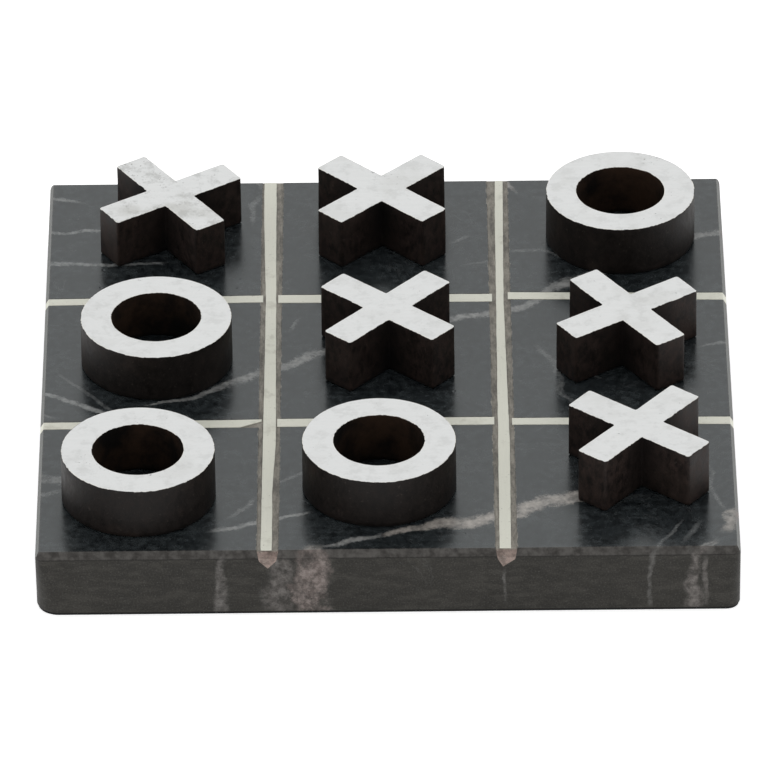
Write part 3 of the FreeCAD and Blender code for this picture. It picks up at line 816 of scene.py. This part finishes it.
def dress_board():
    """The strips, the resin that beds them, and the sheet under the stone."""
    resin = resin_material()
    strips = {"long": strip_material("y"), "cross": strip_material("x")}
    dress(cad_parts["backing_sheet"], rubber_material("backing_rubber"))
    for name, node in sorted(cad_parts.items()):
        if name.endswith("_bedding"):
            mesh = sunken_resin(node)
            own_piece(name + "_bed", mesh, "board", [name], resin)
            smooth_within(mesh, INLAY_CREASE)
        elif name.endswith("_strip"):
            mesh = uneven_strip(node)
            metal = strips["long" if "long" in name else "cross"]
            piece = own_piece(name + "_bar", mesh, "board", [name], metal)
            smooth_within(mesh, INLAY_CREASE)
            round_edges(piece, STRIP_ROUND)


def round_edges(piece, width):
    """Take the sharpness off a piece's edges."""
    bevel = piece.modifiers.new("edge_round", "BEVEL")
    bevel.width = width
    bevel.segments = 2
    bevel.angle_limit = math.radians(INLAY_CREASE)


def dress(node, material):
    """Give a CAD node that stays as it is a material."""
    node.data.materials.clear()
    node.data.materials.append(material)


# ---------------------------------------------------------------- castings


def rounded_outline(corners, radii, step):
    """A closed plan with right-angled corners, each rounded, as closely spaced points."""
    points = []
    count = len(corners)
    for index, (corner, radius) in enumerate(zip(corners, radii)):
        corner = np.array(corner)
        before = np.array(corners[index - 1])
        after = np.array(corners[(index + 1) % count])
        arriving = (corner - before) / np.linalg.norm(corner - before)
        leaving = (after - corner) / np.linalg.norm(after - corner)
        centre = corner - radius * arriving + radius * leaving
        for angle in np.linspace(0, math.pi / 2, CORNER_POINTS):
            points.append(centre + radius * (arriving * math.sin(angle) - leaving * math.cos(angle)))
        run_end = after - radii[(index + 1) % count] * leaving
        run = np.linalg.norm(run_end - points[-1])
        pieces = round(run / step)
        points += [points[-1] + (run_end - points[-1]) * part / pieces for part in range(1, pieces)]
    return np.array(points)


def outward(points):
    """Unit vectors that point out of a closed anticlockwise plan."""
    ahead = np.roll(points, -1, axis=0) - np.roll(points, 1, axis=0)
    ahead /= np.linalg.norm(ahead, axis=1)[:, None]
    return np.stack([ahead[:, 1], -ahead[:, 0]], axis=1)


def cross_plan():
    """The plan of two crossed bars, with bars along X and Y."""
    reach, half = BAR_LENGTH / 2, BAR_WIDTH / 2
    corners = [(half, half), (half, reach), (-half, reach)]
    for _ in range(3):
        corners += [(-y, x) for x, y in corners[-3:]]
    radii = [INNER_CORNER, BAR_CORNER, BAR_CORNER] * 4
    return rounded_outline(corners, radii, OUTLINE_STEP)


def casting_section(height):
    """Up a casting's side: inset from the plan, height, and how far it is ground bright."""
    draft = math.tan(DRAFT_ANGLE)
    levels = np.linspace(BASE_BEVEL, height - TOP_BEVEL, round(height / SIDE_STEP))
    rows = [(BASE_BEVEL, 0.0, 0.0)]
    for z in levels[:-1]:
        rows.append((z * draft, z, 0.0))
    rows.append((levels[-1] * draft, levels[-1], GROUND_BELOW_BEVEL))
    lean = height * draft
    least, most = GROUND_ON_BEVEL
    for share in BEVEL_STEPS:
        angle = share * math.pi / 2
        inset = lean + TOP_BEVEL * (1 - math.cos(angle))
        z = height - TOP_BEVEL * (1 - math.sin(angle))
        rows.append((inset, z, least + (most - least) * share))
    rows.append((lean + FACE_INSET, height, 1.0))
    return rows


def roughness_at(point, shift):
    """How deep the cast skin dips at a point, from 0 to 1."""
    place = Vector(point) + Vector((shift, 0, 0))
    broad_wave, fine_wave = SKIN_WAVES
    dip = 0.5 + 0.45 * noise.noise(place / broad_wave) + 0.3 * noise.noise(place / fine_wave)
    return min(1.0, max(0.0, dip))


def loop_at(plan, normals, row, shift):
    """One level of a casting: the plan drawn in, with the cast skin's unevenness."""
    inset, z, ground = row
    depth = SKIN_DEPTH if ground < GROUND_SMOOTH else 0.0
    points = []
    for (x, y), (nx, ny) in zip(plan, normals):
        dip = depth * roughness_at((x, y, z), shift)
        points.append((x - nx * (inset + dip), y - ny * (inset + dip), z))
    return points


def loft(name, loops, grounds, nooks, closed):
    """Faces between loops of points; the ends are capped unless the loops close up.

    grounds has a number for each loop, and nooks has one for each point.
    """
    width = len(loops[0])
    points = [point for loop in loops for point in loop]
    faces = []
    pairs = len(loops) if closed else len(loops) - 1
    for level in range(pairs):
        lower, upper = level * width, (level + 1) % len(loops) * width
        for index in range(width):
            beside = (index + 1) % width
            faces.append((lower + index, lower + beside, upper + beside, upper + index))
    if not closed:
        faces.append(tuple(range(width))[::-1])
        last = (len(loops) - 1) * width
        faces.append(tuple(range(last, last + width)))
    mesh = mesh_from(name, points, faces)
    set_attribute(mesh, "ground", np.repeat(grounds, width))
    set_attribute(mesh, "nook", nooks)
    split_caps(mesh)
    return mesh


def split_caps(mesh):
    """Cut the many-sided end caps into triangles."""
    work = bmesh.new()
    work.from_mesh(mesh)
    caps = [face for face in work.faces if len(face.verts) > 4]
    bmesh.ops.triangulate(work, faces=caps)
    work.to_mesh(mesh)
    work.free()


def x_mesh(name, height, shift):
    """An X: two crossed bars along X and Y, about the origin."""
    plan = cross_plan()
    normals = outward(plan)
    section = casting_section(height)
    loops = [loop_at(plan, normals, row, shift) for row in section]
    grounds = [ground for _, _, ground in section]
    # The nook mask, 1 at the inner corners and fading out over NOOK_REACH, marks where shade is
    # painted.
    from_axis = np.hypot(plan[:, 0], plan[:, 1]) - BAR_WIDTH / math.sqrt(2)
    nooks = np.clip(1 - from_axis / NOOK_REACH, 0, 1)
    return loft(name, loops, grounds, np.tile(nooks, len(loops)), closed=False)


def o_mesh(name, height, shift):
    """An O: a ring about the origin, up its outside and down its inside."""
    angles = np.linspace(0, 2 * math.pi, RING_POINTS, endpoint=False)
    spokes = np.stack([np.cos(angles), np.sin(angles)], axis=1)
    section = casting_section(height)
    loops = [loop_at(spokes * RING_OUTER, spokes, row, shift) for row in section]
    loops += [loop_at(spokes * RING_INNER, -spokes, row, shift) for row in section[::-1]]
    grounds = [ground for _, _, ground in section + section[::-1]]
    nooks = np.repeat([0.0, 1.0], len(section) * RING_POINTS)
    return loft(name, loops, grounds, nooks, closed=True)


def casting_metals():
    """The metals of the X and O pieces, clean or stained on their ground tops."""
    metals = {}
    for kind, side_tones, nook_shade_tint_pairs in (("x", X_SIDE, X_NOOK_SHADE), ("o", O_SIDE, O_NOOK)):
        for state, (staining, smudging) in TOP_STATES.items():
            name = "cast_metal_%s_%s" % (kind, state)
            metal = casting_material(name, staining, smudging, side_tones, nook_shade_tint_pairs)
            metals[kind, state] = metal
    return metals


def make_casting(name, shift, metals):
    """One playing piece, where its CAD casting stands, on the body of the same name."""
    body = name[:-len("_casting")]
    kind, square = body.split("_", 1)
    build = x_mesh if kind == "x" else o_mesh
    turn = math.radians(DIAGONAL + X_TURNS[square]) if kind == "x" else 0.0
    low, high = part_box(name)
    mesh = build(body + "_cast_mesh", high.z - low.z, shift)
    centre = Vector(((low.x + high.x) / 2, (low.y + high.y) / 2, low.z))
    mesh.transform(Matrix.Translation(centre) @ Matrix.Rotation(turn, 4, "Z"))
    smooth_within(mesh, CASTING_CREASE)
    metal = metals[kind, "stained" if body in STAINED else "clean"]
    own_piece(body + "_cast", mesh, body, [name], metal)


def make_castings():
    """The nine playing pieces, and rubber on the pads under them."""
    rubber = rubber_material("pad_rubber")
    metals = casting_metals()
    for index, (name, node) in enumerate(sorted(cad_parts.items())):
        if name.endswith("_base_pad"):
            dress(node, rubber)
        elif name.endswith("_casting"):
            make_casting(name, index * SKIN_SHIFT, metals)


# ---------------------------------------------------------------- floor, light and camera


def make_floor():
    """A wide, plain white floor, bright enough to read as paper white."""
    reach = FLOOR_REACH
    corners = [(-reach, -reach, 0), (reach, -reach, 0), (reach, reach, 0), (-reach, reach, 0)]
    mesh = mesh_from("floor_mesh", corners, [(0, 1, 2, 3)])
    floor = bpy.data.objects.new("floor", mesh)
    bpy.context.collection.objects.link(floor)
    shader = Shader("floor_white")
    white = shader.finish(Base_Color=(0.9, 0.9, 0.9), Roughness=0.9, Emission_Color=WHITE,
                          Emission_Strength=FLOOR_GLOW, Specular_IOR_Level=0.0)
    mesh.materials.append(white)


def make_light():
    """An even white studio, with one large soft light behind and above the board."""
    world = bpy.data.worlds.new("studio")
    world.use_nodes = True
    background = world.node_tree.nodes["Background"]
    background.inputs["Color"].default_value = WHITE
    background.inputs["Strength"].default_value = WORLD_LIGHT
    bpy.context.scene.world = world
    lamp = bpy.data.lights.new("back_light", "AREA")
    lamp.shape = "RECTANGLE"
    lamp.size, lamp.size_y = LIGHT_SIZE
    lamp.energy = LIGHT_POWER
    light = bpy.data.objects.new("back_light", lamp)
    light.location = LIGHT_PLACE
    light.rotation_euler = (-LIGHT_PLACE).to_track_quat("-Z", "Y").to_euler()
    bpy.context.collection.objects.link(light)


def make_camera():
    """A long lens that looks down at the board's front edge from a little above."""
    lens = bpy.data.cameras.new("camera")
    lens.lens = CAMERA_LENS
    lens.clip_start, lens.clip_end = CAMERA_CLIP
    camera = bpy.data.objects.new("camera", lens)
    azimuth = math.radians(CAMERA_AZIMUTH)
    elevation = math.radians(CAMERA_ELEVATION)
    level = math.cos(elevation)
    back = Vector((math.sin(azimuth) * level, -math.cos(azimuth) * level, math.sin(elevation)))
    camera.location = CAMERA_TARGET + back * CAMERA_DISTANCE
    tilt = Matrix.Rotation(math.radians(CAMERA_ROLL), 3, "Z")
    camera.rotation_euler = ((-back).to_track_quat("-Z", "Y").to_matrix() @ tilt).to_euler()
    bpy.context.collection.objects.link(camera)
    bpy.context.scene.camera = camera


bpy.context.scene.view_settings.view_transform = "Standard"
make_camera()
make_floor()
make_light()
make_slab()
dress_board()
make_castings()
